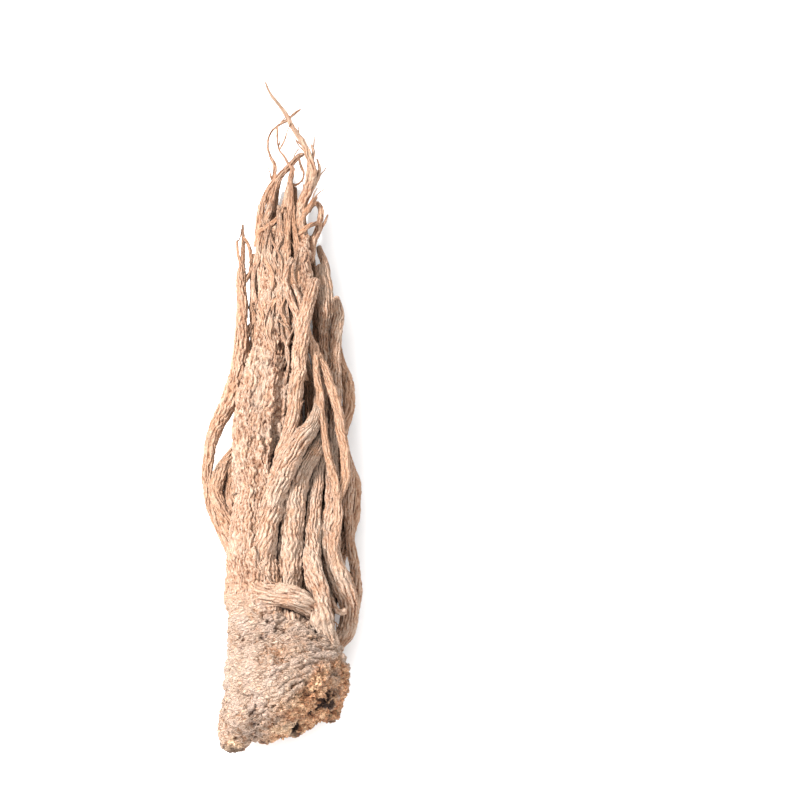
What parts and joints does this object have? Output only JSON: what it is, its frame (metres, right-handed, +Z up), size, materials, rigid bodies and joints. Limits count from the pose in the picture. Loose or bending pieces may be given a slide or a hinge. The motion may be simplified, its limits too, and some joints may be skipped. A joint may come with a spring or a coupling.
{
  "type": "dried dong quai root",
  "caption": "Whole dried dong quai root lying down: a stout ringed crown, a trunk and many wrinkled side roots that taper to tangled tails.",
  "frame": {"origin": "on the surface the root lies on, under the middle of its length and width", "axes": "+Z up from the surface; +Y along the root, from the crown towards the tails; +X to the right, seen from above with the crown nearest"},
  "size_m": [0.0519, 0.2386, 0.037],
  "materials": {
    "dried_root": "dry, matt, wrinkled bark"
  },
  "bodies": {
    "root": {"root": "dried_root"}
  },
  "joints": []
}
